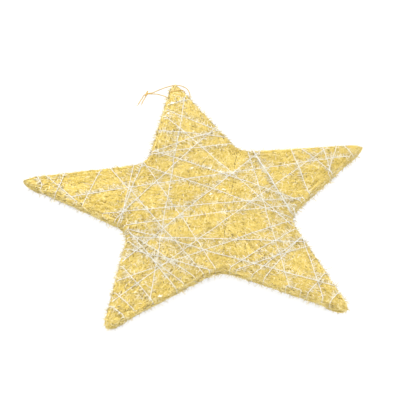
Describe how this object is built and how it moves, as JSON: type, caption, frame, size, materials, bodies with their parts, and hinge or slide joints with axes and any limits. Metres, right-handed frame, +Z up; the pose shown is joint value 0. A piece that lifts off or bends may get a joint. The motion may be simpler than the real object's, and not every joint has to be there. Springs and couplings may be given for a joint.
{
  "type": "star ornament",
  "caption": "Star of natural sisal fibre wound with silver eyelash tinsel yarn, with a gold thread loop to hang it by; lies flat on four of its tips.",
  "frame": {"origin": "centre of the bounding box of the star and its yarn, on the surface that the star lies on", "axes": "+Y towards the arm that the hanging thread is tied to, +Z up out of the crowned face"},
  "size_m": [0.3936, 0.403, 0.0193],
  "materials": {
    "sisal_fibre": "loose natural plant fibre, golden straw colour, dry sheen",
    "tinsel_yarn": "silver-white eyelash yarn with shiny film whiskers",
    "gold_thread": "smooth twisted gold thread"
  },
  "bodies": {
    "root": {"sisal_star": "sisal_fibre", "tinsel_yarn": "tinsel_yarn", "hanger_wrap": "gold_thread", "hanger_strand_long": "gold_thread", "hanger_strand_short": "gold_thread", "hanger_knot": "gold_thread", "hanger_tail_outer": "gold_thread", "hanger_tail_inner": "gold_thread"}
  },
  "joints": []
}
